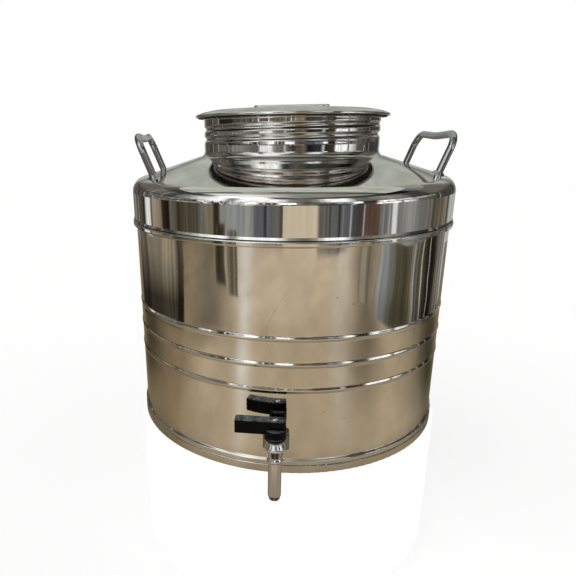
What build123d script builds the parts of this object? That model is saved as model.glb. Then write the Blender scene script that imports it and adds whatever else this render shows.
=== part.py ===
import os
from math import cos, hypot, radians, sin, tan
from build123d import *

# Stainless steel drum with a wide screw lid, two rod handles and a lever tap.
# The origin is the middle of the foot ring's underside, +Z is up and the tap points to -Y.
# All sizes are in millimetres and degrees.

# Sheet and play
sheet = 0.8
seat_gap = 0.05
slip_gap = 0.1
run_gap = 0.05
turn_gap = 0.4

# Foot and wall
body_radius = 180.0
body_height = 234.8
step_level = 16.0
step_drop = 2.0
step_rise = 2.0
step_round = 1.5
foot_height = 9.3
foot_width = 5.0
foot_lip = 0.2
foot_round = 1.0
seam_gap = 0.5
flange_height = 3.6
pan_lift = 8.0
pan_run = 6.0
pan_round = 4.0

# Swaged ribs in the wall
rib_count = 3
rib_first = 91.7
rib_pitch = 26.5
rib_half = 3.0
rib_flat = 0.5
rib_rise = 0.8
rib_round = 2.4
rib_blend = 4.0

# Bead and collar where the wall meets the shoulder
bead_half = 3.5
bead_flat = 2.2
bead_rise = 3.7
bead_round = 1.5
collar_height = 12.0

# Shoulder
dome_step = 2.2
skirt_height = 45.1
skirt_start = 3.8
flare_height = 2.4
flare_rise = 0.9
dome_round = 15.0
cone_angle = 17.6

# Neck
neck_radius = 98.7
neck_height = 38.6
neck_round = 8.0
weld_run = 6.5
groove_count = 2
groove_first = 9.4
groove_pitch = 10.4
groove_half = 3.4
groove_flat = 0.9
groove_depth = 1.8
groove_round = 1.5
rim_width = 2.8
rim_round = 1.5

# Lid
gasket_width = 8.4
gasket_height = 2.0
thread_depth = 28.0
thread_round = 1.2
ring_flange = 10.9
lid_overhang = 9.5
lid_rise = 8.8
lid_shoulder_rise = 6.7
lid_shoulder_run = 18.0
lid_shoulder_round = 25.0
lid_edge_rise = 3.4
lid_hem_drop = 1.1
lid_hem_width = 2.4
lid_hem_round = 1.2
lid_curl_round = 0.8
well_depth = 16.2
well_run = 8.0
well_round = 4.0
grip_length = 84.0
grip_width = 24.0
grip_height = 3.4
grip_seat = 6.0
grip_land = 8.0
grip_corner = 8.0
grip_edge = 1.0

# Handles
handle_turn = 9.5
handle_inset = 28.8
handle_span = 115.0
handle_height = 41.0
handle_rod = 8.0
handle_bend = 16.5
handle_lean = 21.4
handle_dip = 3.0
handle_dip_round = 160.0
pad_radius = 6.9
pad_top = 5.1
pad_height = 2.2
pad_root = 4.0

# Tap, measured from the wall and from the floor
tap_reach = 19.5
tap_height = 39.0
shank_radius = 8.3
shank_inside = 12.5
shank_bore = 3.8
hole_gap = 0.3
washer_radius = 11.5
washer_height = 2.0
nut_sides = 6
nut_flats = 26.0
nut_height = 5.0
nut_edge = 0.8

# Tap barrel, with a ring at its foot and a shoulder under the bonnet, and spout
barrel_radius = 10.4
barrel_waist = 7.1
barrel_neck = 7.6
barrel_foot = 25.0
barrel_ring_radius = 8.2
barrel_ring_height = 3.4
barrel_ring_draw = 2.6
barrel_ring_round = 2.0
barrel_taper = 10.0
barrel_shoulder = 5.5
barrel_round = 4.0
barrel_top = 48.5
thread_radius = 7.4
thread_height = 3.5
spout_radius = 6.6
spout_wall = 2.0
spout_end = -17.3
spout_tip_height = 4.6
spout_tip_inset = 1.1
spigot_inset = 0.8
spigot_height = 4.8

# Valve plug and seals
plug_radius = 6.0
plug_floor = 31.0
plug_bore = 3.5
stem_radius = 4.0
stem_square = 5.6
stem_height = 11.0
oring_section = 1.5
oring_inset = 2.0

# Bonnet and lever
bonnet_radius = 11.1
bonnet_height = 5.5
bonnet_edge = 0.8
bonnet_taper = 3.8
bonnet_draw = 2.5
lever_gap = 0.4
lever_hub_radius = 11.0
lever_hub_height = 8.0
lever_height = 16.5
lever_depth = 13.8
lever_thickness = 11.7
lever_length = 39.0
lever_tail = 10.2
lever_edge = 0.9
screw_head_radius = 3.0
screw_head_height = 2.2
screw_radius = 1.5
screw_length = 8.0

# Levels and radii that follow from the sizes above
step_radius = body_radius + step_rise
foot_radius = step_radius + foot_lip
flange_radius = step_radius - sheet - slip_gap
inner_wall = body_radius - sheet
dome_radius = body_radius + dome_step
dome_corner = body_height + skirt_height
handle_radius = dome_radius - handle_inset
slope = tan(radians(cone_angle))
neck_corner = dome_corner + (dome_radius - neck_radius) * slope
rim_level = neck_corner + neck_height
weld_radius = neck_radius + weld_run
weld_level = dome_corner + (dome_radius - weld_radius) * slope
ring_level = rim_level + gasket_height
thread_ring_radius = neck_radius - groove_depth - sheet - turn_gap
lid_radius = neck_radius + lid_overhang
lid_top = ring_level + lid_rise
tap_axis = body_radius + tap_reach


def far_side(points, radii, thickness):
    # Parallel copy of a bent line, to its left, with the bends eased to match
    spots = [Vector(*point) for point in points]
    ways = [(b - a).normalized() for a, b in zip(spots, spots[1:])]
    sides = [Vector(-way.Y, way.X) for way in ways]
    far = [spots[0] + sides[0] * thickness]
    bends = []
    for i, radius in enumerate(radii):
        before, after = sides[i], sides[i + 1]
        far.append(spots[i + 1] + (before + after) * (thickness / (1 + before.dot(after))))
        left_turn = ways[i].X * ways[i + 1].Y - ways[i].Y * ways[i + 1].X > 0
        eased = radius - thickness if left_turn else radius + thickness
        bends.append(max(eased, 0) if radius else 0)
    far.append(spots[-1] + sides[-1] * thickness)
    return far, bends


def spun_sheet(points, radii, thickness=sheet):
    # A sheet with this section, (radius, height) pairs, spun about the tank's axis
    far, bends = far_side(points, radii, thickness)
    near_line = FilletPolyline(*points, radius=radii)
    far_line = FilletPolyline(*far, radius=bends)
    ends = [Line(points[0], far[0]), Line(points[-1], far[-1])]
    section = make_face([*near_line.edges(), *far_line.edges(), *ends])
    return revolve(Plane.XZ * section, Axis.Z)


def spun_solid(points, radii):
    # A closed section, (radius, height) pairs, spun about the vertical axis
    outline = FilletPolyline(*points, radius=radii, close=True)
    return revolve(Plane.XZ * make_face(outline.edges()), Axis.Z)


def swage(radius, level, half, flat, rise):
    # Four section points of a pressed rib, or of a groove where rise is negative
    return [
        (radius, level - half),
        (radius + rise, level - flat),
        (radius + rise, level + flat),
        (radius, level + half),
    ]


def post(radius, low, high):
    # Upright round bar between two levels
    bar = Cylinder(radius, high - low, align=(Align.CENTER, Align.CENTER, Align.MIN))
    return Pos(0, 0, low) * bar


def square_post(width, low, high):
    # Upright square bar between two levels
    bar = Box(width, width, high - low, align=(Align.CENTER, Align.CENTER, Align.MIN))
    return Pos(0, 0, low) * bar


def along_y(radius, front, back):
    # Round bar about the tap's inlet axis, between two distances from the tank's axis
    bar = Plane.XZ.offset(back) * Circle(radius)
    return Pos(0, 0, tap_height) * extrude(bar, front - back)


def hex_nut(front, back):
    # Hexagon nut about the inlet axis, with its side flats upright
    outline = RegularPolygon(nut_flats / 2, nut_sides, major_radius=False, rotation=180 / nut_sides)
    blank = extrude(Plane.XZ.offset(back) * outline, front - back)
    rims = blank.edges().filter_by(GeomType.LINE).group_by(Axis.Y)
    blank = chamfer([*rims[0], *rims[-1]], nut_edge)
    return Pos(0, 0, tap_height) * blank - along_y(shank_radius + seat_gap, front, back)


# Wall, with the tap's hole
wall_points = [
    (step_radius, foot_height + seam_gap),
    (step_radius, step_level - step_drop),
    (body_radius, step_level),
]
wall_radii = [step_round, step_round]
for i in range(rib_count):
    wall_points += swage(body_radius, rib_first + i * rib_pitch, rib_half, rib_flat, rib_rise)
    wall_radii += [rib_blend, rib_round, rib_round, rib_blend]
collar_radius = dome_radius - sheet - slip_gap
wall_points += swage(body_radius, body_height, bead_half, bead_flat, bead_rise)[:3]
wall_points += [(collar_radius, body_height + bead_half), (collar_radius, body_height + collar_height)]
wall_radii += [0, bead_round, bead_round, 0]
tank_shell = spun_sheet(wall_points, wall_radii)
tank_shell -= along_y(shank_radius + hole_gap, tap_axis, inner_wall - washer_radius)

# Bottom, with a hollow foot ring and a flange that fits inside the wall's step
pan_edge = foot_radius - foot_width
bottom_pan = spun_sheet(
    [
        (0, pan_lift),
        (pan_edge - pan_run, pan_lift),
        (pan_edge, 0),
        (foot_radius, 0),
        (foot_radius, foot_height),
        (flange_radius, foot_height),
        (flange_radius, foot_height + flange_height),
    ],
    [pan_round, foot_round, foot_round, foot_round, 0],
)

# Shoulder
skirt_level = body_height + skirt_start
shoulder_dome = spun_sheet(
    [
        (dome_radius + flare_rise, skirt_level),
        (dome_radius, skirt_level + flare_height),
        (dome_radius, dome_corner),
        (weld_radius, weld_level),
    ],
    [0, dome_round],
)

# Neck with its rolled grooves and rim
neck_points = [(weld_radius, weld_level), (neck_radius, neck_corner)]
neck_radii = [neck_round]
for i in reversed(range(groove_count)):
    groove_level = rim_level - groove_first - i * groove_pitch
    neck_points += swage(neck_radius, groove_level, groove_half, groove_flat, -groove_depth)
    neck_radii += [0, groove_round, groove_round, 0]
neck_points += [(neck_radius, rim_level - sheet), (neck_radius + rim_width, rim_level - sheet)]
neck_radii += [rim_round]
neck_ring = spun_sheet(neck_points, neck_radii)

# Lid: seal, threaded ring, cover with its edge curled up to the ring's flange, and grip
gasket_inner = thread_ring_radius + thread_round + seat_gap
gasket_outer = gasket_inner + gasket_width
lid_gasket = post(gasket_outer, rim_level, ring_level) - post(gasket_inner, rim_level, ring_level)
lid_thread_ring = spun_sheet(
    [
        (thread_ring_radius, ring_level - thread_depth),
        (thread_ring_radius, ring_level),
        (thread_ring_radius + ring_flange, ring_level),
    ],
    [thread_round],
)
well_radius = grip_length / 2 - grip_seat
hem_level = ring_level - lid_hem_drop
lid_cover = spun_sheet(
    [
        (0, lid_top - well_depth),
        (well_radius - well_run, lid_top - well_depth),
        (well_radius, lid_top),
        (grip_length / 2 + grip_land, lid_top),
        (lid_radius - lid_shoulder_run, ring_level + lid_shoulder_rise),
        (lid_radius, ring_level + lid_edge_rise),
        (lid_radius, hem_level),
        (lid_radius - lid_hem_width, hem_level),
        (lid_radius - lid_hem_width, ring_level),
    ],
    [well_round, well_round, 0, lid_shoulder_round, lid_hem_round, lid_hem_round, lid_curl_round],
    -sheet,
)
grip_outline = Pos(0, 0, lid_top) * RectangleRounded(grip_length, grip_width, grip_corner)
grip_blank = extrude(grip_outline, grip_height)
lid_grip = fillet(grip_blank.edges().group_by(Axis.Z)[-1], grip_edge)

# Handles, leaning out a little more than the cone's square, with their feet cut to it
foot_level = dome_corner + (dome_radius - handle_radius) * slope
leg_out = Vector(sin(radians(handle_lean)), 0, cos(radians(handle_lean)))
handle_plane = Plane(
    (handle_radius, 0, foot_level),
    x_dir=(0, 1, 0),
    z_dir=(leg_out.Z, 0, -leg_out.X),
)
reach = handle_span / 2
foot_fall = (hypot(handle_radius, reach) - handle_radius) * slope
foot_drop = foot_fall / (leg_out.Z + slope * leg_out.X)
leg_end = -foot_drop - pad_root
route = FilletPolyline(
    (-reach, leg_end),
    (-reach, handle_height),
    (0, handle_height - handle_dip),
    (reach, handle_height),
    (reach, leg_end),
    radius=[handle_bend, handle_dip_round, handle_bend],
)
handle_path = handle_plane * route
rod_end = Plane(handle_path @ 0, z_dir=handle_path % 0)
handle_blank = sweep(rod_end * Circle(handle_rod / 2), path=handle_path)
cone_top = [(dome_radius, dome_corner + seat_gap), (0, dome_corner + dome_radius * slope + seat_gap)]
cone_fill = spun_solid([(0, body_height), (dome_radius, body_height), *cone_top], 0)
handle = handle_blank - cone_fill


def weld_foot(side):
    # Flared weld round one leg of a handle
    leg = Plane(handle_plane.from_local_coords((side * reach, -foot_drop, 0)), z_dir=leg_out)
    weld_height = pad_root + pad_height
    flare_base = pad_top + (pad_radius - pad_top) * weld_height / pad_height
    flare = Cone(flare_base, pad_top, weld_height, align=(Align.CENTER, Align.CENTER, Align.MAX))
    socket = Cylinder(handle_rod / 2 + seat_gap, 2 * weld_height)
    return leg * Pos(0, 0, pad_height) * (flare - socket) - cone_fill


pad_rear, pad_front = weld_foot(1), weld_foot(-1)
right_turn = Rot(0, 0, handle_turn)
left_turn = Rot(0, 0, handle_turn + 180)

# Tap clamp: washers cut to the wall, nuts on the shank
washer_bore = along_y(shank_radius + seat_gap, tap_axis, 0)
outer_face = body_radius + washer_height
inner_face = inner_wall - washer_height
wall_core = post(body_radius + seat_gap, 0, body_height)
inner_core = post(inner_wall - seat_gap, 0, body_height)
tap_outer_washer = along_y(washer_radius, outer_face, inner_wall - washer_radius) - wall_core - washer_bore
tap_inner_washer = (along_y(washer_radius, body_radius, inner_face) & inner_core) - washer_bore
tap_outer_nut = hex_nut(outer_face + nut_height, outer_face)
tap_back_nut = hex_nut(inner_face, inner_face - nut_height)

# Tap body: barrel, inlet shank, plug chamber and passages
at_tap = Pos(0, -tap_axis, 0)
ring_top = barrel_foot + barrel_ring_height
waist_level = ring_top + barrel_ring_draw
shoulder_start = waist_level + barrel_taper
shoulder_end = shoulder_start + barrel_shoulder
thread_top = barrel_top + thread_height
spigot_radius = spout_radius - spigot_inset
spigot_top = barrel_foot + spigot_height
shank_end = inner_wall - shank_inside
barrel = spun_solid(
    [
        (0, barrel_foot),
        (barrel_ring_radius, barrel_foot),
        (barrel_ring_radius, ring_top),
        (barrel_waist, waist_level),
        (barrel_radius, shoulder_start),
        (barrel_neck, shoulder_end),
        (barrel_neck, barrel_top),
        (thread_radius, barrel_top),
        (thread_radius, thread_top),
        (0, thread_top),
    ],
    [0, barrel_ring_round, barrel_ring_round, barrel_ring_round, barrel_round, 0, 0, 0, 0, 0],
)
chamber = post(plug_radius + run_gap, plug_floor, thread_top)
outlet = post(spigot_radius + seat_gap, barrel_foot, spigot_top) + post(plug_bore, barrel_foot, plug_floor)
tap_body = at_tap * barrel + along_y(shank_radius, tap_axis, shank_end)
tap_body -= at_tap * (chamber + outlet)
tap_body -= along_y(shank_bore, tap_axis, shank_end)

# Spout tube with a tapered tip and a spigot in the barrel's foot
spout_bore = spout_radius - spout_wall
tap_spout = at_tap * spun_solid(
    [
        (spout_bore, spout_end),
        (spout_radius - spout_tip_inset, spout_end),
        (spout_radius, spout_end + spout_tip_height),
        (spout_radius, barrel_foot),
        (spigot_radius, barrel_foot),
        (spigot_radius, spigot_top),
        (spout_bore, spigot_top),
    ],
    0,
)

# Plug with an L-shaped passage, seal grooves and a square stem
plug_base = plug_floor + run_gap
plug_top = thread_top - run_gap
stem_start = barrel_top + bonnet_height + lever_gap
stem_top = stem_start + stem_height
screw_end = stem_top - screw_length
seal_levels = [plug_base + oring_inset, plug_top - oring_inset]
seal_half = oring_section / 2 + run_gap
plug = post(plug_radius, plug_base, plug_top)
for level in seal_levels:
    plug -= post(plug_radius, level - seal_half, level + seal_half)
    plug += post(plug_radius - oring_section, level - seal_half, level + seal_half)
plug += post(stem_radius, plug_top, stem_start)
plug += square_post(stem_square, stem_start, stem_top)
plug -= post(plug_bore, plug_base, tap_height) + Pos(0, 0, tap_height) * Sphere(plug_bore)
plug -= Pos(0, 0, tap_height) * Rot(0, 90, 0) * post(plug_bore, 0, plug_radius)
plug -= post(screw_radius + run_gap, screw_end, stem_top)
tap_plug = at_tap * plug
seal = Torus(plug_radius - oring_section / 2, oring_section / 2 - run_gap)
tap_oring_lower, tap_oring_upper = [at_tap * Pos(0, 0, level) * seal for level in seal_levels]

# Bonnet over the barrel's thread, drawn in at its foot, with the stem's hole in its web
bonnet_top = barrel_top + bonnet_height
bonnet = spun_solid(
    [
        (0, barrel_top),
        (bonnet_radius - bonnet_draw, barrel_top),
        (bonnet_radius, barrel_top + bonnet_taper),
        (bonnet_radius, bonnet_top),
        (0, bonnet_top),
    ],
    0,
)
bonnet = fillet(bonnet.edges().group_by(Axis.Z)[-1], bonnet_edge)
bonnet -= post(thread_radius + seat_gap, barrel_top, thread_top)
bonnet -= post(stem_radius + run_gap, thread_top, bonnet_top)
tap_bonnet = at_tap * bonnet

# Lever: a bar on a round hub with a square socket, and its screw
lever_top = stem_start + lever_height
head_seat = lever_top - screw_head_height
hub = post(lever_hub_radius, stem_start, stem_start + lever_hub_height)
bar_length = lever_length + lever_tail
bar = Box(bar_length, lever_thickness, lever_depth, align=(Align.MIN, Align.CENTER, Align.MAX))
bar = Pos(-lever_length, 0, lever_top) * fillet(bar.edges(), lever_edge)
lever = fillet(hub.edges(), lever_edge) + bar
lever -= square_post(stem_square + 2 * seat_gap, stem_start, stem_top + seat_gap)
lever -= post(screw_radius + run_gap, stem_top, head_seat)
lever -= post(screw_head_radius + run_gap, head_seat, lever_top)
tap_lever = at_tap * lever
screw = post(screw_radius, screw_end, head_seat) + post(screw_head_radius, head_seat, lever_top)
tap_lever_screw = at_tap * screw

nodes = {
    "tank_shell": tank_shell,
    "bottom_pan": bottom_pan,
    "shoulder_dome": shoulder_dome,
    "neck_ring": neck_ring,
    "handle_right": right_turn * handle,
    "handle_left": left_turn * handle,
    "handle_right_pad_rear": right_turn * pad_rear,
    "handle_right_pad_front": right_turn * pad_front,
    "handle_left_pad_front": left_turn * pad_rear,
    "handle_left_pad_rear": left_turn * pad_front,
    "tap_body": tap_body,
    "tap_spout": tap_spout,
    "tap_outer_washer": tap_outer_washer,
    "tap_outer_nut": tap_outer_nut,
    "tap_inner_washer": tap_inner_washer,
    "tap_back_nut": tap_back_nut,
    "tap_bonnet": tap_bonnet,
    "tap_plug": tap_plug,
    "tap_oring_lower": tap_oring_lower,
    "tap_oring_upper": tap_oring_upper,
    "tap_lever": tap_lever,
    "tap_lever_screw": tap_lever_screw,
    "lid_gasket": lid_gasket,
    "lid_thread_ring": lid_thread_ring,
    "lid_cover": lid_cover,
    "lid_grip": lid_grip,
}
os.makedirs("parts", exist_ok=True)
for name, shape in nodes.items():
    export_step(shape, f"parts/{name}.step")
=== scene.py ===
import math
import bpy
from mathutils import Matrix, Vector


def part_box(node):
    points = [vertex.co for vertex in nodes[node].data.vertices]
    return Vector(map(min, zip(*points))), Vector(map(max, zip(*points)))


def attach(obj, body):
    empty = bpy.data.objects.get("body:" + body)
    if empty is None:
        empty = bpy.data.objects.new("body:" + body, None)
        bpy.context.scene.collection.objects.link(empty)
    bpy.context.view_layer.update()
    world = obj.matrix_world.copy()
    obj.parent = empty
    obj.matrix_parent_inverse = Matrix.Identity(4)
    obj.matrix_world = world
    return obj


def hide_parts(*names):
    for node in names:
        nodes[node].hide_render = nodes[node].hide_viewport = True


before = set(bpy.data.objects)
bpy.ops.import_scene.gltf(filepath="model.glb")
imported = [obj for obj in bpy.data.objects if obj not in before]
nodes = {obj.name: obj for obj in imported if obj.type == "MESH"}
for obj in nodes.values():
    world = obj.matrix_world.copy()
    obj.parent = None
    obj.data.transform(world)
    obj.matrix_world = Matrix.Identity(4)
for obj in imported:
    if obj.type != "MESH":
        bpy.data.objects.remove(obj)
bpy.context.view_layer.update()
scene = bpy.context.scene
scene.view_settings.view_transform = "Standard"
print("tank frame loaded:", len(nodes), "nodes")


# helpers for colours
def tone(red, green, blue):
    # a display colour from 0 to 255 as a linear one
    linear = []
    for part in (red / 255, green / 255, blue / 255):
        linear.append(part / 12.92 if part <= 0.04045 else ((part + 0.055) / 1.055) ** 2.4)
    return (*linear, 1.0)


def scaled(colour, share):
    return (colour[0] * share, colour[1] * share, colour[2] * share, 1.0)


fullWhite = (1.0, 1.0, 1.0, 1.0)


# helpers for shader nodes, where a value may be a number or another node's socket
def wire(tree, kind, sockets=None, **settings):
    node = tree.nodes.new(kind)
    for key, value in settings.items():
        setattr(node, key, value)
    for key, value in (sockets or {}).items():
        if isinstance(value, bpy.types.NodeSocket):
            tree.links.new(value, node.inputs[key])
        else:
            node.inputs[key].default_value = value
    return node


def sums(tree, how, first, second=0.0, third=0.0):
    return wire(tree, "ShaderNodeMath", {0: first, 1: second, 2: third}, operation=how).outputs[0]


def times(tree, first, *others):
    for other in others:
        first = sums(tree, "MULTIPLY", first, other)
    return first


def centred(tree, value):
    # a noise from 0 to 1 made to swing about zero
    return sums(tree, "SUBTRACT", value, 0.5)


def spread(tree, value, low, high, outLow=0.0, outHigh=1.0):
    # stretches a value between two limits onto two others
    node = wire(tree, "ShaderNodeMapRange", {0: value, 1: low, 2: high, 3: outLow, 4: outHigh})
    return node.outputs[0]


def bell(tree, value, middle, half):
    away = sums(tree, "DIVIDE", sums(tree, "SUBTRACT", value, middle), half)
    return sums(tree, "EXPONENT", times(tree, away, away, -1.0))


def objectPlace(tree):
    return wire(tree, "ShaderNodeTexCoord").outputs["Object"]


def axesOf(tree, vector):
    return wire(tree, "ShaderNodeSeparateXYZ", {0: vector}).outputs


def combined(tree, first, second, third=0.0):
    return wire(tree, "ShaderNodeCombineXYZ", {0: first, 1: second, 2: third}).outputs[0]


def lengthOf(tree, vector):
    return wire(tree, "ShaderNodeVectorMath", {0: vector}, operation="LENGTH").outputs["Value"]


def noised(tree, vector, scale, detail=2.0, rough=0.5):
    sockets = {"Vector": vector, "Scale": scale, "Detail": detail, "Roughness": rough}
    return wire(tree, "ShaderNodeTexNoise", sockets).outputs[0]


def blended(tree, share, first, second):
    node = wire(tree, "ShaderNodeMix", {0: share, 6: first, 7: second}, data_type="RGBA")
    return node.outputs[2]


def ramped(tree, value, stops):
    node = wire(tree, "ShaderNodeValToRGB", {0: value})
    ramp = node.color_ramp
    ramp.elements.remove(ramp.elements[1])
    ramp.elements[0].position = stops[0][0]
    ramp.elements[0].color = stops[0][1]
    for place, colour in stops[1:]:
        ramp.elements.new(place).color = colour
    return node.outputs[0]


def bumped(tree, height):
    return wire(tree, "ShaderNodeBump", {"Strength": 1.0, "Distance": 1.0, "Height": height}).outputs[0]


def directSight(tree):
    # one where the camera looks straight, in a mirror or through glass
    path = wire(tree, "ShaderNodeLightPath").outputs
    seen = sums(tree, "MAXIMUM", path["Is Camera Ray"], path["Is Glossy Ray"])
    return sums(tree, "MAXIMUM", seen, path["Is Transmission Ray"])


def newMaterial(name):
    material = bpy.data.materials.new(name)
    material.use_nodes = True
    material.node_tree.nodes.clear()
    return material, material.node_tree


def newGroup(name, inputs, outputs):
    group = bpy.data.node_groups.new(name, "ShaderNodeTree")
    for way, labels in (("INPUT", inputs), ("OUTPUT", outputs)):
        for label in labels:
            group.interface.new_socket(name=label, in_out=way, socket_type="NodeSocketFloat")
    return group, group.nodes.new("NodeGroupInput").outputs, group.nodes.new("NodeGroupOutput").inputs


def placeGroup(tree, group, **values):
    return wire(tree, "ShaderNodeGroup", values, node_tree=group).outputs


# helpers for meshes
def meshPiece(name, points, faces):
    mesh = bpy.data.meshes.new(name)
    mesh.from_pydata(points, [], faces)
    mesh.validate()
    mesh.update()
    mesh.polygons.foreach_set("use_smooth", [True] * len(mesh.polygons))
    piece = bpy.data.objects.new(name, mesh)
    scene.collection.objects.link(piece)
    return piece


def spunPiece(name, profile, sides, capped=False):
    # profile points are radius and height, and a capped piece has a flat disc at each end of its profile
    points = []
    faces = []
    for radius, level in profile:
        for step in range(sides):
            angle = 2 * math.pi * step / sides
            points.append((radius * math.cos(angle), radius * math.sin(angle), level))
    for row in range(len(profile) - 1):
        for step in range(sides):
            after = (step + 1) % sides
            faces.append((row * sides + step, row * sides + after,
                          (row + 1) * sides + after, (row + 1) * sides + step))
    if capped:
        faces.append(tuple(reversed(range(sides))))
        faces.append(tuple(range(len(points) - sides, len(points))))
    return meshPiece(name, points, faces)


# camera at the photograph's angle
cameraSet = {"place": (0.0263, -0.6550, 0.3254), "turn": 8.403, "dip": 18.656, "roll": -0.589,
             "sensor": 36.0, "lens": 33.684, "shiftX": 0.0974, "shiftY": 0.0542, "nearest": 0.01}


def placeCamera(values):
    data = bpy.data.cameras.new("photoCamera")
    data.sensor_width = values["sensor"]
    data.lens = values["lens"]
    data.shift_x = values["shiftX"]
    data.shift_y = values["shiftY"]
    data.clip_start = values["nearest"]
    camera = bpy.data.objects.new("photoCamera", data)
    scene.collection.objects.link(camera)
    turn = Matrix.Rotation(math.radians(values["turn"]), 4, "Z")
    dip = Matrix.Rotation(math.radians(90 - values["dip"]), 4, "X")
    roll = Matrix.Rotation(math.radians(values["roll"]), 4, "Z")
    camera.matrix_world = Matrix.Translation(values["place"]) @ turn @ dip @ roll
    scene.camera = camera


placeCamera(cameraSet)
print("camera placed")


# white floor and a round plinth that leaves the spout free
stageSet = {"floorLevel": -0.16, "floorReach": 6.0, "plinthTop": -0.0003, "plinthRadius": 0.1865,
            "plinthEdge": 0.002, "edgeBend": 0.3, "plinthMiddle": 0.001, "sides": 128,
            "white": (0.96, 0.96, 0.955, 1.0), "rough": 0.9, "floorGlow": 0.6, "plinthGlow": 1.0}


def paintWhite(name, values, glow):
    material, tree = newMaterial(name)
    shader = wire(tree, "ShaderNodeBsdfPrincipled", {
        "Base Color": values["white"], "Roughness": values["rough"], "Specular IOR Level": 0.0})
    light = wire(tree, "ShaderNodeEmission", {0: fullWhite, 1: 1.0})
    share = times(tree, directSight(tree), glow)
    mixed = wire(tree, "ShaderNodeMixShader", {0: share, 1: shader.outputs[0], 2: light.outputs[0]})
    wire(tree, "ShaderNodeOutputMaterial", {0: mixed.outputs[0]})
    return material


def buildStage(values):
    low = values["floorLevel"]
    reach = values["floorReach"]
    floor = meshPiece("paleFloor", [(-reach, -reach, low), (reach, -reach, low), (reach, reach, low),
                                    (-reach, reach, low)], [(0, 1, 2, 3)])
    floor.data.materials.append(paintWhite("paleFloorPaint", values, values["floorGlow"]))
    radius = values["plinthRadius"]
    edge = values["plinthEdge"]
    bend = values["edgeBend"] * edge
    top = values["plinthTop"]
    profile = [(radius, low), (radius, top - edge), (radius - bend, top - bend), (radius - edge, top),
               (values["plinthMiddle"], top)]
    plinth = spunPiece("palePlinth", profile, values["sides"])
    plinth.data.materials.append(paintWhite("palePlinthPaint", values, values["plinthGlow"]))
    plinth.visible_glossy = False


buildStage(stageSet)
print("stage built")


# plain coloured cards that glow around the tank: a painted room, with its light and shade, which its polished
# steel mirrors
cardSet = {"columnTurn": 3.0, "bowPower": 4, "rows": 0.4, "footFade": (0.0, 0.0, 1.0),
           "lightFrom": (0.3, 0.7), "streakNoise": (1.0, 3.0, 0.6), "thinRow": 3.3,
           "thinNoise": (1.3, 1.0, 0.5), "lines": (0.62, 0.67), "glints": (0.36, 0.31),
           "clumpNoise": (0.22, 1.0, 0.5), "clumps": (0.46, 0.56)}
steelShare = 0.755  # of the light that polished steel gives back


def steelTone(red, green, blue):
    # the card colour that steel of this tint mirrors as the given one
    return scaled(tone(red, green, blue), 1 / steelShare)


beige = steelTone(190, 177, 153)
sand = steelTone(146, 136, 116)
drab = steelTone(116, 107, 92)
stone = steelTone(98, 95, 86)
greyBlue = steelTone(130, 133, 135)
greyGreen = steelTone(158, 161, 152)
olive = steelTone(70, 65, 50)
umber = steelTone(44, 36, 24)
slate = steelTone(88, 88, 92)
pale = steelTone(208, 209, 205)
bright = steelTone(246, 248, 248)
black = steelTone(20, 17, 16)
ash = steelTone(104, 105, 103)
lead = steelTone(60, 60, 60)
smoke = steelTone(138, 138, 134)
rust = steelTone(84, 63, 53)
glare = scaled(bright, 1.4)


def buildCardStreaks(values):
    # soft upright streaks of light that can fade, and clumps of thin lines and glints
    inputs = ["Streaks", "Rows", "Contrast", "FadeDepth", "FadeFull", "FadeGone", "LineShare", "GlintShare"]
    group, given, out = newGroup("cardStreaks", inputs, ["Light", "Lines", "Glints"])
    axes = axesOf(group, wire(group, "ShaderNodeUVMap", uv_map="across").outputs[0])
    across = times(group, axes[0], given["Streaks"])
    rows = times(group, axes[1], given["Rows"])
    streak = noised(group, combined(group, across, rows), *values["streakNoise"])
    least = sums(group, "SUBTRACT", 1.0, given["Contrast"])
    most = sums(group, "ADD", 1.0, given["Contrast"])
    light = spread(group, streak, *values["lightFrom"], least, most)
    faded = sums(group, "SUBTRACT", 1.0, given["FadeDepth"])
    fade = spread(group, axes[1], given["FadeFull"], given["FadeGone"], faded, 1.0)
    group.links.new(times(group, light, fade), out["Light"])
    upright = combined(group, across, values["thinRow"])
    thin = noised(group, upright, *values["thinNoise"])
    clump = spread(group, noised(group, upright, *values["clumpNoise"]), *values["clumps"])
    lines = spread(group, thin, *values["lines"], 0.0, given["LineShare"])
    group.links.new(times(group, clump, lines), out["Lines"])
    glints = spread(group, thin, *values["glints"], 0.0, given["GlintShare"])
    group.links.new(times(group, clump, glints), out["Glints"])
    return group


def buildCardMottle(values):
    # cloudy light of the floor and ceiling
    group, given, out = newGroup("cardMottle", ["Scale", "Detail", "Roughness", "Least", "Most"], ["Light"])
    cloud = noised(group, objectPlace(group), given["Scale"], given["Detail"], given["Roughness"])
    group.links.new(spread(group, cloud, *values["lightFrom"], given["Least"], given["Most"]), out["Light"])
    return group


cardStreaks = buildCardStreaks(cardSet)
cardMottle = buildCardMottle(cardSet)


def glowing(tree, colour, light):
    lit = wire(tree, "ShaderNodeVectorMath", {0: colour, "Scale": light}, operation="SCALE")
    glow = wire(tree, "ShaderNodeEmission", {0: lit.outputs[0], 1: 1.0})
    wire(tree, "ShaderNodeOutputMaterial", {0: glow.outputs[0]})


def glossOnly(piece):
    # the cards show in polished metal, and don't stand in the picture or its light
    piece.visible_camera = False
    piece.visible_diffuse = False
    piece.visible_shadow = False


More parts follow.
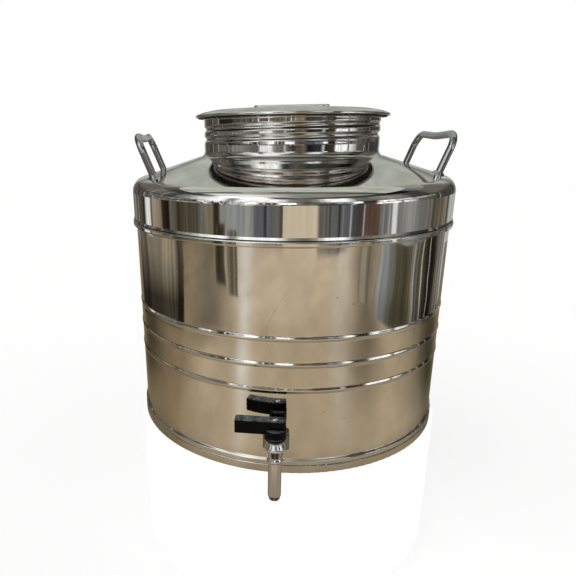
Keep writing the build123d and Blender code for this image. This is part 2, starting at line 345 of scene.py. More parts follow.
def cardPaint(name, card):
    material, tree = newMaterial(name)
    depth, full, gone = card.get("footFade", cardSet["footFade"])
    streaks = placeGroup(tree, cardStreaks, Streaks=card["streaks"], Rows=card.get("rows", cardSet["rows"]),
                         Contrast=card["contrast"], FadeDepth=depth, FadeFull=full, FadeGone=gone,
                         LineShare=card.get("lines", 0.0), GlintShare=card.get("glints", 0.0))
    across = axesOf(tree, wire(tree, "ShaderNodeUVMap", uv_map="across").outputs[0])[0]
    colour = ramped(tree, across, card["tones"])
    colour = blended(tree, streaks["Lines"], colour, black)
    colour = blended(tree, streaks["Glints"], colour, bright)
    glowing(tree, colour, streaks["Light"])
    return material


def hangCard(name, card):
    start, end = card["turn"]
    columns = max(2, int((end - start) / cardSet["columnTurn"]))
    points = []
    faces = []
    marks = []
    for column in range(columns + 1):
        share = column / columns
        angle = math.radians(start + (end - start) * share)
        lift = card.get("bow", 0.0) * (2 * share - 1) ** cardSet["bowPower"]
        for row, level in enumerate((card["low"] + lift, card["high"])):
            points.append((card["reach"] * math.sin(angle), -card["reach"] * math.cos(angle), level))
            marks.append((share, row))
    for column in range(columns):
        first = 2 * column
        faces.append((first, first + 2, first + 3, first + 1))
    piece = meshPiece(name, points, faces)
    layer = piece.data.uv_layers.new(name="across")
    for loop in piece.data.loops:
        layer.data[loop.index].uv = marks[loop.vertex_index]
    piece.data.materials.append(cardPaint(name + "Paint", card))
    glossOnly(piece)


def around(*stops, start=-180, end=180):
    # stops given as degrees from the front, to the right
    return [((turn - start) / (end - start), colour) for turn, colour in stops]


# turns are degrees from the front to the right, and tones go along the turn
# a foot fade is its depth, and the shares of the card's height at which it is full and gone
wallCards = {
    "lowWallLeft": {
        "turn": (-180, -1.5), "reach": 2.15, "low": -0.15, "high": 0.09, "streaks": 80.0, "contrast": 0.28,
        "lines": 0.75, "glints": 0.25,
        "tones": around((-180, greyGreen), (-140, stone), (-122, olive), (-116, black), (-114, pale),
                        (-108, pale), (-106, black), (-104, sand), (-94, drab), (-92, umber), (-85, black),
                        (-83, stone), (-77, olive), (-75, umber), (-72, olive), (-62, olive), (-56, stone),
                        (-48, drab), (-46, umber), (-43, umber), (-41, smoke), (-30, greyBlue), (-22, smoke),
                        (-19, slate), (-9, slate), (-4.5, stone), (-2.5, lead), (-1.5, lead), end=-1.5)},
    "lowWallRight": {
        "turn": (-1.5, 180), "reach": 2.15, "low": -0.15, "high": 0.09, "streaks": 80.0, "contrast": 0.28,
        "lines": 0.75, "glints": 0.25,
        "tones": around((-1.5, beige), (19.5, beige), (21, stone), (36, slate), (46, lead), (52, rust),
                        (60, rust), (62, ash), (70, ash), (71, pale), (74, pale), (75, ash), (86, smoke),
                        (95, ash), (107, stone), (109, olive), (128, drab), (132, lead), (136, greyGreen),
                        (180, greyGreen), start=-1.5)},
    "frontPanel": {
        "turn": (-1.5, 19.5), "reach": 2.13, "low": -0.15, "high": 0.09, "streaks": 9.0, "contrast": 0.10,
        "tones": [(0.0, beige), (1.0, beige)]},
    "midWall": {
        "turn": (-180, 180), "reach": 2.15, "low": 0.09, "high": 0.62, "streaks": 105.0, "contrast": 0.32,
        "lines": 0.8, "glints": 0.2,
        "tones": around((-152, greyGreen), (-147, stone), (-120, lead), (-104, stone), (-99, ash), (-88, ash),
                        (-84, stone), (-64, smoke), (-47, ash), (-38, ash), (-35, bright), (-21, bright),
                        (-18, smoke), (-7, ash), (-5, pale), (-2, stone), (5, olive), (20, stone),
                        (23, black), (40, lead), (42, pale), (45, umber), (57, olive), (60, glare),
                        (66, bright), (70, glare), (86, pale), (92, stone), (113, lead), (145, lead),
                        (150, ash), (160, greyGreen))},
    "dashRail": {
        "turn": (-110, 110), "reach": 2.12, "low": 0.44, "high": 0.66, "streaks": 70.0, "contrast": 0.6,
        "lines": 0.8, "glints": 0.6,
        "tones": around((-110, ash), (-84, ash), (-80, smoke), (-68, stone), (-60, lead), (-57, pale),
                        (-46, smoke), (-44, umber), (-37, umber), (-35, smoke), (-26, pale), (-24, glare),
                        (-18, glare), (-16, slate), (-6, lead), (-4, glare), (6, glare), (7, drab),
                        (15, rust), (17, slate), (31, slate), (33, greyBlue), (41, greyBlue), (43, glare),
                        (47, glare), (48.5, umber), (58, umber), (60, glare), (75, pale), (110, ash),
                        start=-110, end=110)},
    "upperWall": {
        "turn": (-180, 180), "reach": 2.15, "low": 0.62, "high": 1.66, "streaks": 95.0, "contrast": 0.22,
        "rows": 1.4, "lines": 0.3, "glints": 0.2, "footFade": (0.6, 0.02, 0.3),
        "tones": around((-180, greyGreen), (-150, greyGreen), (-140, stone), (-100, stone), (-84, lead),
                        (-78, ash), (-70, smoke), (-58, pale), (-48, bright), (-42, bright), (-38, smoke),
                        (-34, smoke), (-31, bright), (-5, bright), (2, smoke), (9, ash), (15, stone),
                        (21, smoke), (28, bright), (40, bright), (46, ash), (54, stone), (70, smoke),
                        (84, ash), (90, lead), (103, lead), (112, stone), (140, stone), (150, greyGreen))},
    "topWall": {
        "turn": (-180, 180), "reach": 2.15, "low": 1.66, "high": 2.30, "streaks": 60.0, "contrast": 0.30,
        "rows": 1.0, "lines": 0.4,
        "tones": around((-180, greyGreen), (-145, greyGreen), (-126, stone), (-100, lead), (-68, lead),
                        (-58, smoke), (-48, glare), (-16, glare), (-9, stone), (-3, lead), (10, stone),
                        (30, lead), (70, lead), (82, black), (100, black), (112, ash), (150, greyGreen))},
    "neckShade": {
        "turn": (-100, 100), "reach": 2.11, "low": 0.364, "high": 0.432, "streaks": 60.0, "contrast": 0.55,
        "lines": 0.5, "glints": 0.7, "footFade": (0.5, 1.0, 0.4),
        "tones": around((-100, umber), (-78, umber), (-60, stone), (-20, drab), (4, drab), (8, sand),
                        (17, sand), (20, lead), (44, slate), (60, lead), (74, smoke), (100, stone),
                        start=-100, end=100)},
    "leftBlock": {
        "turn": (-131, -69), "reach": 0.97, "low": -0.15, "high": 0.085, "streaks": 16.0, "contrast": 0.18,
        "lines": 0.5, "footFade": (0.84, 0.28, 0.85),
        "tones": [(0.0, olive), (0.13, stone), (0.24, olive), (0.3, drab), (0.6, drab), (0.64, sand),
                  (0.84, sand), (0.88, drab), (0.93, umber), (0.97, drab), (1.0, umber)]},
    "frontPost": {
        "turn": (-44, -38), "reach": 1.50, "low": -0.15, "high": 0.05, "streaks": 3.0, "contrast": 0.2,
        "tones": [(0.0, olive), (0.4, umber), (1.0, olive)]},
    "frontFrame": {
        "turn": (-36, -30), "reach": 1.36, "low": -0.15, "high": 0.05, "streaks": 8.0, "contrast": 0.5,
        "tones": [(0.0, drab), (0.5, olive), (0.6, drab), (1.0, olive)]},
    "rightPost": {
        "turn": (48, 55), "reach": 1.25, "low": -0.15, "high": 0.05, "streaks": 6.0, "contrast": 0.4,
        "tones": [(0.0, drab), (0.5, sand), (1.0, olive)]},
    "rightDrum": {
        "turn": (58, 136), "reach": 0.97, "low": -0.15, "high": 0.085, "streaks": 34.0, "contrast": 0.42,
        "lines": 0.6, "glints": 0.3, "bow": 0.05, "footFade": (0.35, 0.0, 0.5),
        "tones": [(0.0, sand), (0.05, smoke), (0.09, greyBlue), (0.15, stone), (0.22, olive), (0.34, olive),
                  (0.41, drab), (0.44, greyGreen), (0.47, olive), (0.56, olive), (0.62, umber), (0.70, black),
                  (0.76, umber), (0.82, stone), (0.95, stone), (1.0, pale)]},
}
for cardName, cardValues in wallCards.items():
    hangCard(cardName, cardValues)


def layCard(name, values, mixTones):
    # a flat round card with a mottled light, whose tones come from the given function
    piece = spunPiece(name, [(radius, values["level"]) for radius in values["rings"]], values["sides"])
    material, tree = newMaterial(name + "Paint")
    colour = mixTones(tree, axesOf(tree, objectPlace(tree)), values)
    mottle = placeGroup(tree, cardMottle, **values["mottle"])
    glowing(tree, colour, mottle["Light"])
    piece.data.materials.append(material)
    glossOnly(piece)


# a shade is its turn, half width, the distances it grows between and its share, and a streak has no distances
floorCardSet = {"level": -0.152, "rings": (0.002, 0.5, 2.2), "sides": 96,
                "mottle": {"Scale": 4.5, "Detail": 5.0, "Roughness": 0.62, "Least": 0.84, "Most": 1.14},
                "front": steelTone(166, 150, 124), "far": steelTone(184, 167, 142), "farFrom": (1.0, 1.35),
                "left": steelTone(132, 115, 89), "leftFrom": (-52.0, -72.0),
                "right": steelTone(114, 105, 86), "rightFrom": (78.0, 118.0),
                "back": steelTone(128, 114, 92), "backFrom": (128.0, 172.0),
                "shade": steelTone(58, 52, 40), "footFrom": (0.46, 0.40), "footShare": 0.36,
                "shades": ((-50.0, 17.0, 0.84, 1.06, 0.75), (-116.0, 26.0, 0.34, 0.62, 0.92),
                           (54.0, 12.0, 0.36, 0.92, 0.70), (122.0, 20.0, 0.34, 0.60, 0.95)),
                "streak": steelTone(205, 200, 190), "streakFrom": (0.42, 0.78), "streakFoot": 0.25,
                "streaks": ((-25.5, 4.5, 0.75), (38.0, 6.5, 0.32)),
                "tapShade": steelTone(44, 38, 30), "tapSpot": (0.0, -0.225, 0.0), "spotOuter": (0.12, 0.08),
                "spotInner": (0.03, 0.06), "under": steelTone(100, 92, 78), "underFrom": (0.21, 0.19)}


def floorTones(tree, axes, values):
    flat = combined(tree, axes[0], axes[1])
    away = lengthOf(tree, flat)
    turn = times(tree, sums(tree, "ARCTAN2", axes[0], times(tree, axes[1], -1.0)), 180 / math.pi)
    colour = blended(tree, spread(tree, away, *values["farFrom"]), values["front"], values["far"])
    colour = blended(tree, spread(tree, turn, *values["leftFrom"]), colour, values["left"])
    colour = blended(tree, spread(tree, turn, *values["rightFrom"]), colour, values["right"])
    for middle, half, near, far, share in values["shades"]:
        shade = times(tree, bell(tree, turn, middle, half), spread(tree, away, near, far, 0.0, share))
        colour = blended(tree, shade, colour, values["shade"])
    # painted streaks of light across the floor
    for middle, half, share in values["streaks"]:
        growing = spread(tree, away, *values["streakFrom"], values["streakFoot"] * share, share)
        ray = times(tree, bell(tree, turn, middle, half), growing)
        colour = blended(tree, ray, colour, values["streak"])
    # painted shade on the floor around the tank's foot
    foot = spread(tree, away, *values["footFrom"], 0.0, values["footShare"])
    colour = blended(tree, foot, colour, values["shade"])
    behind = spread(tree, sums(tree, "ABSOLUTE", turn), *values["backFrom"])
    colour = blended(tree, behind, colour, values["back"])
    # painted shade on the floor under the tap, in a dark tone
    toTap = wire(tree, "ShaderNodeVectorMath", {0: flat, 1: values["tapSpot"]}, operation="DISTANCE")
    tapAway = toTap.outputs["Value"]
    spot = times(tree, spread(tree, tapAway, *values["spotOuter"]),
                 spread(tree, tapAway, *values["spotInner"]))
    colour = blended(tree, spot, colour, values["tapShade"])
    # painted shade on the floor under the tank
    return blended(tree, spread(tree, away, *values["underFrom"]), colour, values["under"])


layCard("floorCard", floorCardSet, floorTones)


# a glow is its middle and share, and a panel is its sides, tone and share
ceilingCardSet = {"level": 2.30, "rings": (0.001, 1.0, 2.16), "sides": 96,
                  "mottle": {"Scale": 1.3, "Detail": 3.0, "Roughness": 0.5, "Least": 0.72, "Most": 1.28},
                  "front": steelTone(130, 130, 122), "back": steelTone(176, 178, 168),
                  "backFrom": (-0.3, -0.1), "glow": steelTone(242, 242, 240), "glowHalf": 0.56,
                  "glows": ((-0.72, -1.42, 1.0), (-1.55, -1.00, 0.8)), "panelEdge": 0.12,
                  "panels": ((-2.2, 2.2, -0.66, -0.12, lead, 0.85),
                             (-0.85, -0.20, -0.66, -0.12, greyGreen, 0.75))}


def ceilingTones(tree, axes, values):
    colour = blended(tree, spread(tree, axes[1], *values["backFrom"]), values["front"], values["back"])
    half = values["glowHalf"]
    for across, along, share in values["glows"]:
        patch = times(tree, bell(tree, axes[0], across, half), bell(tree, axes[1], along, half), share)
        colour = blended(tree, patch, colour, values["glow"])
    edge = values["panelEdge"]
    for left, right, front, back, paint, share in values["panels"]:
        inside = share
        for axis, low, high in ((axes[0], left, right), (axes[1], front, back)):
            rising = spread(tree, axis, low, low + edge)
            falling = spread(tree, axis, high, high - edge)
            inside = times(tree, inside, rising, falling)
        colour = blended(tree, inside, colour, paint)
    return colour


layCard("ceilingCard", ceilingCardSet, ceilingTones)
print("cards hung:", len(wallCards) + 2)


# soft studio light, even all over the floor, with each sun's place, width in degrees and strength
lightSet = {"world": 0.50, "suns": {"softKey": ((-1.3, -1.6, 2.6), 50.0, 1.15),
                                    "softFill": ((1.9, -0.9, 2.2), 60.0, 0.55),
                                    "softBack": ((0.5, 2.2, 2.4), 60.0, 0.45)}}


def lightScene(values):
    world = bpy.data.worlds.new("whiteStudio")
    world.use_nodes = True
    tree = world.node_tree
    tree.nodes.clear()
    strength = spread(tree, directSight(tree), 0.0, 1.0, values["world"], 1.0)
    sky = wire(tree, "ShaderNodeBackground", {0: fullWhite, 1: strength})
    wire(tree, "ShaderNodeOutputWorld", {0: sky.outputs[0]})
    scene.world = world
    for name, (place, width, energy) in values["suns"].items():
        data = bpy.data.lights.new(name, "SUN")
        data.angle = math.radians(width)
        data.energy = energy
        lamp = bpy.data.objects.new(name, data)
        aim = Vector(place).to_track_quat("Z", "Y").to_matrix().to_4x4()
        lamp.matrix_world = Matrix.Translation(place) @ aim
        scene.collection.objects.link(lamp)
        lamp.visible_glossy = False


lightScene(lightSet)
print("lights set")


# shared surface effects, where a noise is its scale and detail, and some give its roughness too
rippleSet = {"slow": (13.0, 1.5, 0.4), "quick": (95.0, 2.0, 0.5)}


def buildSheetRipple(values):
    # slow waves and small dimples of thin rolled sheet, as a height in metres
    group, given, out = newGroup("sheetRipple", ["Waves", "Dimples", "Upright"], ["Height"])
    place = objectPlace(group)
    axes = axesOf(group, place)
    tall = combined(group, axes[0], axes[1], times(group, axes[2], given["Upright"]))
    slow = centred(group, noised(group, tall, *values["slow"]))
    quick = centred(group, noised(group, place, *values["quick"]))
    height = times(group, slow, given["Waves"])
    height = sums(group, "MULTIPLY_ADD", quick, given["Dimples"], height)
    group.links.new(height, out["Height"])
    return group


spunSet = {"across": 900.0, "along": 1.6, "noise": (1.0, 3.0, 0.65)}


def buildSpunLines(values):
    # fine lines that the polishing wheel leaves around the tank's axis
    group, given, out = newGroup("spunLines", ["Depth"], ["Height", "Mask"])
    axes = axesOf(group, objectPlace(group))
    radius = lengthOf(group, combined(group, axes[0], axes[1]))
    turn = sums(group, "ARCTAN2", axes[0], axes[1])
    fine = combined(group, times(group, radius, values["across"]), times(group, axes[2], values["across"]),
                    times(group, turn, values["along"]))
    line = noised(group, fine, *values["noise"])
    group.links.new(line, out["Mask"])
    group.links.new(times(group, centred(group, line), given["Depth"]), out["Height"])
    return group


marksSet = {"hazeDetail": 5.0, "hazeRough": 0.62, "haze": (0.48, 0.72),
            "cells": 85.0, "specks": (0.05, 0.10), "speckNoise": (30.0, 2.0), "speckPatches": (0.56, 0.62),
            "curl": (5.0, 1.0, 0.4), "hairHalf": 0.0022, "hairNoise": (9.0, 2.0), "hairPatches": (0.54, 0.60)}


def buildHandMarks(values):
    # patches of handling haze, small specks and long hairline scratches
    group, given, out = newGroup("handMarks", ["Size"], ["Haze", "Specks", "Hairs"])
    place = objectPlace(group)
    haze = noised(group, place, given["Size"], values["hazeDetail"], values["hazeRough"])
    group.links.new(spread(group, haze, *values["haze"]), out["Haze"])
    cells = wire(group, "ShaderNodeTexVoronoi", {"Vector": place, "Scale": values["cells"]})
    specks = spread(group, cells.outputs["Distance"], *values["specks"], 1.0, 0.0)
    patches = spread(group, noised(group, place, *values["speckNoise"]), *values["speckPatches"])
    group.links.new(times(group, specks, patches), out["Specks"])
    curl = sums(group, "ABSOLUTE", centred(group, noised(group, place, *values["curl"])))
    hairs = spread(group, curl, 0.0, values["hairHalf"], 1.0, 0.0)
    patches = spread(group, noised(group, place, *values["hairNoise"]), *values["hairPatches"])
    group.links.new(times(group, hairs, patches), out["Hairs"])
    return group


def buildMouldGrain():
    # fine grain that the mould leaves, as a height in metres
    group, given, out = newGroup("mouldGrain", ["Scale", "Depth"], ["Height"])
    grain = noised(group, objectPlace(group), given["Scale"])
    group.links.new(times(group, grain, given["Depth"]), out["Height"])
    return group


sheetRipple = buildSheetRipple(rippleSet)
spunLines = buildSpunLines(spunSet)
handMarks = buildHandMarks(marksSet)
mouldGrain = buildMouldGrain()
print("surface effects built")


# finishes
markTones = {"specks": tone(70, 58, 42), "hairs": tone(96, 88, 78)}
steelTint = (0.76, 0.75, 0.73, 1.0)
steelDull = (0.60, 0.58, 0.54, 1.0)
steelSets = {
    "shellSteel": {"colour": steelTint, "dull": steelDull, "waves": 1.8e-3, "upright": 0.8, "dimples": 5e-6,
                   "lines": 4e-7, "markSize": 7.0, "haze": 0.5, "specks": 0.5, "hairs": 0.2,
                   "rough": 0.055, "hazeRough": 0.10, "lineRough": 0.05},
    "domeSteel": {"colour": steelTint, "dull": steelDull, "waves": 3.2e-4, "upright": 0.8, "dimples": 3e-6,
                  "lines": 6e-7, "markSize": 9.0, "haze": 0.3, "specks": 0.3, "hairs": 0.2,
                  "rough": 0.05, "hazeRough": 0.06, "lineRough": 0.04},
    # a darker copy of the tank's steel, as painted shade on the neck and the lid's threaded ring
    "shadedNeckSteel": {"colour": (0.60, 0.59, 0.57, 1.0), "dull": (0.46, 0.44, 0.41, 1.0), "waves": 1.2e-4,
                  "upright": 0.8, "dimples": 3e-6, "lines": 6e-7, "markSize": 9.0, "haze": 0.3, "specks": 0.3,
                  "hairs": 0.2, "rough": 0.035, "hazeRough": 0.05, "lineRough": 0.03},
    "lidSteel": {"colour": steelTint, "dull": steelDull, "waves": 1.0e-4, "dimples": 3e-6, "lines": 8e-7,
                 "markSize": 9.0, "haze": 0.3, "specks": 0.3, "hairs": 0.2,
                 "rough": 0.09, "hazeRough": 0.05, "lineRough": 0.04, "spun": 0.5},
    "gripSteel": {"colour": (0.86, 0.86, 0.85, 1.0), "dull": steelDull, "waves": 4e-5, "dimples": 3e-6,
                  "lines": 4e-7, "markSize": 30.0, "haze": 0.3, "specks": 0.2, "hairs": 0.2,
                  "rough": 0.34, "hazeRough": 0.06, "lineRough": 0.06},
    "rodSteel": {"colour": (0.46, 0.475, 0.50, 1.0), "dull": (0.30, 0.31, 0.32, 1.0), "waves": 3e-5,
                 "dimples": 2e-6, "lines": 2e-7, "markSize": 40.0, "haze": 0.4, "specks": 0.3, "hairs": 0.2,
                 "rough": 0.08, "hazeRough": 0.06, "lineRough": 0.02},
    "tapChrome": {"colour": (0.77, 0.79, 0.86, 1.0), "dull": (0.60, 0.58, 0.55, 1.0), "waves": 4e-5,
                  "dimples": 3e-6, "lines": 1e-7, "markSize": 60.0, "haze": 0.4, "specks": 0.5, "hairs": 0.1,
                  "rough": 0.06, "hazeRough": 0.12, "lineRough": 0.02},
    "nutSteel": {"colour": (0.26, 0.26, 0.26, 1.0), "dull": (0.16, 0.16, 0.15, 1.0), "waves": 4e-5,
                 "dimples": 6e-6, "lines": 1e-7, "markSize": 80.0, "haze": 0.5, "specks": 0.4, "hairs": 0.1,
                 "rough": 0.08, "hazeRough": 0.10, "lineRough": 0.02},
    "plugBrass": {"colour": (0.78, 0.58, 0.26, 1.0), "dull": (0.55, 0.38, 0.18, 1.0), "waves": 4e-6,
                  "dimples": 2e-6, "lines": 1e-6, "markSize": 60.0, "haze": 0.5, "specks": 0.3, "hairs": 0.1,
                  "rough": 0.22, "hazeRough": 0.15, "lineRough": 0.05},
}


def polishedSteel(name, values):
    material, tree = newMaterial(name)
    ripple = placeGroup(tree, sheetRipple, Waves=values["waves"], Dimples=values["dimples"],
                        Upright=values.get("upright", 1.0))
    lines = placeGroup(tree, spunLines, Depth=values["lines"])
    marks = placeGroup(tree, handMarks, Size=values["markSize"])
    worn = times(tree, marks["Haze"], values["haze"])
    colour = blended(tree, worn, values["colour"], values["dull"])
    colour = blended(tree, times(tree, marks["Specks"], values["specks"]), colour, markTones["specks"])
    colour = blended(tree, times(tree, marks["Hairs"], values["hairs"]), colour, markTones["hairs"])
    rough = sums(tree, "MULTIPLY_ADD", worn, values["hazeRough"], values["rough"])
    rough = sums(tree, "MULTIPLY_ADD", centred(tree, lines["Mask"]), values["lineRough"], rough)
    normal = bumped(tree, sums(tree, "ADD", ripple["Height"], lines["Height"]))
    shader = wire(tree, "ShaderNodeBsdfPrincipled", {
        "Base Color": colour, "Metallic": 1.0, "Roughness": rough, "Normal": normal})
    if "spun" in values:
        circling = wire(tree, "ShaderNodeTangent", direction_type="RADIAL", axis="Z")
        shader.inputs["Anisotropic"].default_value = values["spun"]
        tree.links.new(circling.outputs[0], shader.inputs["Tangent"])
    wire(tree, "ShaderNodeOutputMaterial", {0: shader.outputs[0]})
    return material


# dust and a painted sheen on the upper sides of moulded plastic, in a pale blue-grey tone
dustAndSheenSet = {"facing": (0.35, 0.95), "noise": (170.0, 3.0, 0.6), "patches": (0.38, 0.62), "amounts": (0.1, 2.0),
           "tone": tone(150, 160, 170)}
plasticSets = {
    "blackPlastic": {"colour": (0.0012, 0.0012, 0.0013, 1.0), "dull": (0.003, 0.003, 0.003, 1.0),
                     "grain": 900.0, "grainDepth": 4e-6, "markSize": 60.0, "haze": 0.5, "hazeRough": 0.05,
                     "rough": 0.05, "gloss": 0.10, "dustAndSheen": 0.16},
    "whiteSeal": {"colour": (0.72, 0.71, 0.66, 1.0), "dull": (0.52, 0.49, 0.40, 1.0),
                  "grain": 500.0, "grainDepth": 1e-5, "markSize": 50.0, "haze": 0.6, "hazeRough": 0.1,
                  "rough": 0.5, "gloss": 0.5},
    "blackSeal": {"colour": (0.006, 0.006, 0.006, 1.0), "dull": (0.016, 0.016, 0.016, 1.0),
                  "grain": 800.0, "grainDepth": 1e-5, "markSize": 80.0, "haze": 0.6, "hazeRough": 0.1,
                  "rough": 0.5, "gloss": 0.3},
}


def mouldedPlastic(name, values):
    material, tree = newMaterial(name)
    grain = placeGroup(tree, mouldGrain, Scale=values["grain"], Depth=values["grainDepth"])
    marks = placeGroup(tree, handMarks, Size=values["markSize"])
    colour = blended(tree, times(tree, marks["Haze"], values["haze"]), values["colour"], values["dull"])
    if "dustAndSheen" in values:
        # dust, and a painted sheen of light from above, in patches on the upper sides
        facing = wire(tree, "ShaderNodeNewGeometry").outputs["Normal"]
        upperDustAndSheen = spread(tree, axesOf(tree, facing)[2], *dustAndSheenSet["facing"], 0.0, values["dustAndSheen"])
        cloud = noised(tree, objectPlace(tree), *dustAndSheenSet["noise"])
        patches = spread(tree, cloud, *dustAndSheenSet["patches"], *dustAndSheenSet["amounts"])
        colour = blended(tree, times(tree, upperDustAndSheen, patches), colour, dustAndSheenSet["tone"])
    rough = sums(tree, "MULTIPLY_ADD", marks["Haze"], values["hazeRough"], values["rough"])
    shader = wire(tree, "ShaderNodeBsdfPrincipled", {
        "Base Color": colour, "Roughness": rough, "Specular IOR Level": values["gloss"],
        "Normal": bumped(tree, grain["Height"])})
    wire(tree, "ShaderNodeOutputMaterial", {0: shader.outputs[0]})
    return material


finishes = {}
for finish, look in steelSets.items():
    finishes[finish] = polishedSteel(finish, look)
for finish, look in plasticSets.items():
    finishes[finish] = mouldedPlastic(finish, look)

nodeFinish = {
    "shellSteel": ["tank_shell", "bottom_pan"],
    "domeSteel": ["shoulder_dome"],
    "shadedNeckSteel": ["neck_ring", "lid_thread_ring"],
    "lidSteel": ["lid_cover"],
    "gripSteel": ["lid_grip"],
    "rodSteel": ["handle_left", "handle_right", "handle_left_pad_front", "handle_left_pad_rear",
                 "handle_right_pad_front", "handle_right_pad_rear"],
    "tapChrome": ["tap_body", "tap_spout", "tap_lever_screw"],
    "nutSteel": ["tap_outer_nut", "tap_back_nut"],
    "plugBrass": ["tap_plug"],
    "blackPlastic": ["tap_bonnet", "tap_lever"],
    "whiteSeal": ["tap_outer_washer", "tap_inner_washer"],
    "blackSeal": ["tap_oring_upper", "tap_oring_lower", "lid_gasket"],
}
for finish, members in nodeFinish.items():
    for member in members:
        mesh = nodes[member].data
        mesh.materials.clear()
        mesh.materials.append(finishes[finish])
print("finishes given:", len(finishes))


# rolled screw thread of the neck, and of the lid's ring that turns in it
threadSet = {"pitch": 0.0104, "frontTurn": 0.25, "sheet": 0.0008, "sides": 240, "spacing": 0.0006,
             "sharp": 40.0}
neckSet = {"radius": 0.0987, "slope": 17.6, "footRound": 0.008, "rimWidth": 0.0014, "rimRound": 0.0008,
           "drop": 0.0198, "depth": -0.0018, "half": 0.0036, "flat": 0.0006, "turns": (-0.45, 1.35),
           "runOut": 0.22, "belly": 0.00016, "bellyDrop": 0.0285, "bellyHalf": 0.0058}
ringSet = {"radius": 0.0957, "bend": 0.0012, "drop": 0.0146, "depth": 0.0014, "half": 0.0016, "flat": 0.0003,
           "turns": (-0.70, 0.95), "runOut": 0.12}
bendSteps = 8  # points along each rounded corner of a sheet


def softStep(value):
    value = min(max(value, 0.0), 1.0)
    return value * value * (3 - 2 * value)


def threadPush(values, angle, level, frontLevel):
    # how far the thread moves the sheet out at this angle and level, with turns counted from the front
    first, last = values["turns"]
    share = (angle / (2 * math.pi) + threadSet["frontTurn"]) % 1.0
    push = 0.0
    for turn in range(math.floor(first), math.ceil(last) + 1):
        along = share + turn
        ends = softStep((along - first) / values["runOut"]) * softStep((last - along) / values["runOut"])
        away = abs(level - frontLevel - threadSet["pitch"] * along)
        push = max(push, ends * softStep((values["half"] - away) / (values["half"] - values["flat"])))
    return values["depth"] * push


def bellyPush(values, level, rim):
    # the plain band under the thread swells a little
    away = min(abs(level - rim + values["bellyDrop"]) / values["bellyHalf"], 1.0)
    return values["belly"] * math.cos(away * math.pi / 2) ** 2


def leftOf(heading):
    return Vector((-math.sin(heading), math.cos(heading)))


def bentLine(corners, radii, spacing):
    # straight runs and rounded corners as points, each with the line's heading there
    line = []
    here = Vector(corners[0])
    for index in range(1, len(corners)):
        stop = Vector(corners[index])
        ahead = stop - Vector(corners[index - 1])
        heading = math.atan2(ahead.y, ahead.x)
        bends = index < len(corners) - 1
        if bends:
            onward = Vector(corners[index + 1]) - stop
            turn = (math.atan2(onward.y, onward.x) - heading + math.pi) % (2 * math.pi) - math.pi
            radius = math.copysign(radii[index - 1], turn)
            stop = stop - ahead.normalized() * radii[index - 1] * math.tan(abs(turn) / 2)
        steps = max(1, round((stop - here).length / spacing))
        line += [(here.lerp(stop, step / steps), heading) for step in range(steps)]
        here = stop
        if bends:
            middle = here + leftOf(heading) * radius
            for step in range(bendSteps):
                facing = heading + turn * step / bendSteps
                line.append((middle - leftOf(facing) * radius, facing))
            here = middle - leftOf(heading + turn) * radius
    line.append((here, heading))
    return line


def sheetFaces(line, sheet):
    # the points of the line itself, and those of the sheet's other face on the way back
    first = [spot for spot, heading in line]
    second = [spot + leftOf(heading) * sheet for spot, heading in reversed(line)]
    return first, second


def threadedSheet(name, line, values, rim):
    # the sheet's outer line goes up and its inner line comes back down, and the thread is rolled into both
    outer, inner = sheetFaces(line, threadSet["sheet"])
    section = outer + inner
    sides = threadSet["sides"]
    points = []
    faces = []
    for step in range(sides):
        angle = 2 * math.pi * step / sides
        for spot in section:
            radius = spot.x + threadPush(values, angle, spot.y, rim - values["drop"])
            if "belly" in values:
                radius += bellyPush(values, spot.y, rim)
            points.append((radius * math.cos(angle), radius * math.sin(angle), spot.y))
    count = len(section)
    for step in range(sides):
        here = step * count
        there = (step + 1) % sides * count
        for row in range(count):
            after = (row + 1) % count
            faces.append((here + row, there + row, there + after, here + after))
    piece = meshPiece(name, points, faces)
    piece.data.set_sharp_from_angle(angle=math.radians(threadSet["sharp"]))
    return piece


def rollNeck(values):
    low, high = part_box("neck_ring")
    rim = high[2]
    corner = low[2] + (high[0] - values["radius"]) * math.tan(math.radians(values["slope"]))
    under = rim - threadSet["sheet"]
    corners = [(high[0], low[2]), (values["radius"], corner), (values["radius"], under),
               (values["radius"] + values["rimWidth"], under)]
    line = bentLine(corners, [values["footRound"], values["rimRound"]], threadSet["spacing"])
    piece = threadedSheet("threadedNeck", line, values, rim)
    piece.data.materials.append(finishes["shadedNeckSteel"])
    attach(piece, "tank")
    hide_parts("neck_ring")
    return rim


def rollLidRing(values, rim):
    low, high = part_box("lid_thread_ring")
    level = high[2] - threadSet["sheet"]
    corners = [(values["radius"], low[2]), (values["radius"], level), (high[0], level)]
    line = bentLine(corners, [values["bend"]], threadSet["spacing"])
    piece = threadedSheet("threadedLidRing", line, values, rim)
    piece.data.materials.append(finishes["shadedNeckSteel"])
    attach(piece, "lid")
    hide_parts("lid_thread_ring")


rollLidRing(ringSet, rollNeck(neckSet))
print("threads rolled")


# domed lid with a thin rounded edge, curled up under it to the ring's flange
lidSet = {"rise": 0.0088, "hemWidth": 0.0024, "hemDrop": 0.0011, "edgeRise": 0.0015, "slopeRun": 0.0070,
          "slopeRise": 0.0041, "shoulderRun": 0.0180, "shoulderRise": 0.0063, "landRadius": 0.0500,
          "wellRadius": 0.0360, "wellRun": 0.0080, "wellDepth": 0.0162, "discRadius": 0.0020,
          "bends": [0.0010, 0.0009, 0.0015, 0.0140, 0.0250, 0.0600, 0.0040, 0.0040],
          "sheet": 0.0008, "spacing": 0.006, "sides": 192, "sharp": 40.0}


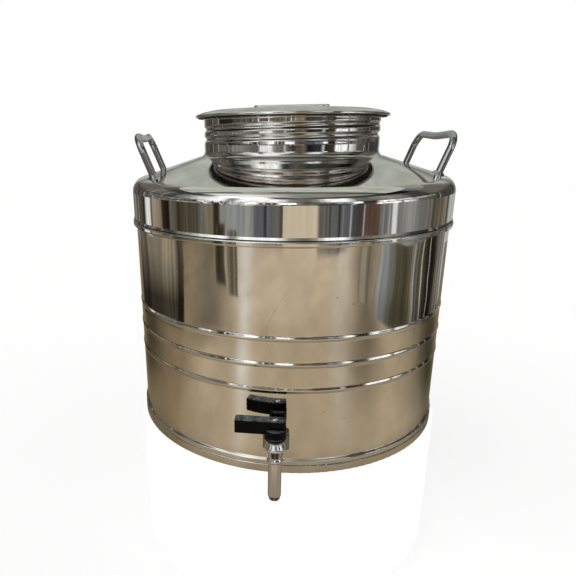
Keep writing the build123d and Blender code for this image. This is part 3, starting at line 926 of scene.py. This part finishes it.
def pressLid(values):
    low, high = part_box("lid_cover")
    edge = high[0]
    top = high[2]
    flange = top - values["rise"]
    hem = flange - values["hemDrop"]
    curl = edge - values["hemWidth"]
    floor = top - values["wellDepth"]
    corners = [(curl, flange), (curl, hem), (edge, hem), (edge, flange + values["edgeRise"]),
               (edge - values["slopeRun"], flange + values["slopeRise"]),
               (edge - values["shoulderRun"], flange + values["shoulderRise"]),
               (values["landRadius"], top), (values["wellRadius"], top),
               (values["wellRadius"] - values["wellRun"], floor), (values["discRadius"], floor)]
    line = bentLine(corners, values["bends"], values["spacing"])
    over, under = sheetFaces(line, values["sheet"])
    profile = [(spot.x, spot.y) for spot in under + over]
    piece = spunPiece("domedLid", profile, values["sides"], True)
    piece.data.set_sharp_from_angle(angle=math.radians(values["sharp"]))
    piece.data.materials.append(finishes["lidSteel"])
    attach(piece, "lid")
    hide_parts("lid_cover")


pressLid(lidSet)
print("lid pressed")


# lever screw with a cross recess
screwSet = {"headRadius": 0.0030, "headHeight": 0.0022, "crown": 0.0004, "edge": 0.0005,
            "shankRadius": 0.0015, "slotHalf": 0.00042, "slotReach": 0.0020, "slotDepth": 0.0011,
            "slotSoft": 0.00016, "rings": 20, "edgeSteps": 4, "sides": 96, "sharp": 50.0}


def crossMask(values, across, along):
    # one in the recess, and zero on the head around it
    reach = softStep((values["slotReach"] - max(abs(across), abs(along))) / values["slotSoft"])
    width = softStep((values["slotHalf"] - min(abs(across), abs(along))) / values["slotSoft"] + 0.5)
    return reach * width


def turnScrew(values):
    low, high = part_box("tap_lever_screw")
    middle = ((low[0] + high[0]) / 2, (low[1] + high[1]) / 2)
    seat = high[2] - values["headHeight"]
    rows = []
    for step in range(1, values["rings"] + 1):
        radius = (values["headRadius"] - values["edge"]) * step / values["rings"]
        rows.append((radius, high[2] - values["crown"] * (radius / values["headRadius"]) ** 2))
    edgeTop = rows[-1][1]
    for step in range(1, values["edgeSteps"] + 1):
        bend = math.pi / 2 * step / values["edgeSteps"]
        rows.append((values["headRadius"] - values["edge"] * (1 - math.sin(bend)),
                     edgeTop - values["edge"] * (1 - math.cos(bend))))
    rows += [(values["headRadius"], seat), (values["shankRadius"], seat), (values["shankRadius"], low[2])]
    sides = values["sides"]
    points = [(middle[0], middle[1], high[2] - values["slotDepth"])]
    for radius, level in rows:
        for step in range(sides):
            angle = 2 * math.pi * step / sides
            across = radius * math.cos(angle)
            along = radius * math.sin(angle)
            dip = values["slotDepth"] * crossMask(values, across, along) if level > seat else 0.0
            points.append((middle[0] + across, middle[1] + along, level - dip))
    faces = [(0, 1 + step, 1 + (step + 1) % sides) for step in range(sides)]
    for row in range(len(rows) - 1):
        for step in range(sides):
            here = 1 + row * sides
            after = (step + 1) % sides
            faces.append((here + step, here + sides + step, here + sides + after, here + after))
    last = 1 + (len(rows) - 1) * sides
    faces.append(tuple(last + step for step in reversed(range(sides))))
    piece = meshPiece("crossHeadScrew", points, faces)
    piece.data.set_sharp_from_angle(angle=math.radians(values["sharp"]))
    piece.data.materials.append(finishes["tapChrome"])
    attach(piece, "tap_valve")
    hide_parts("tap_lever_screw")


turnScrew(screwSet)
print("lever screw turned")
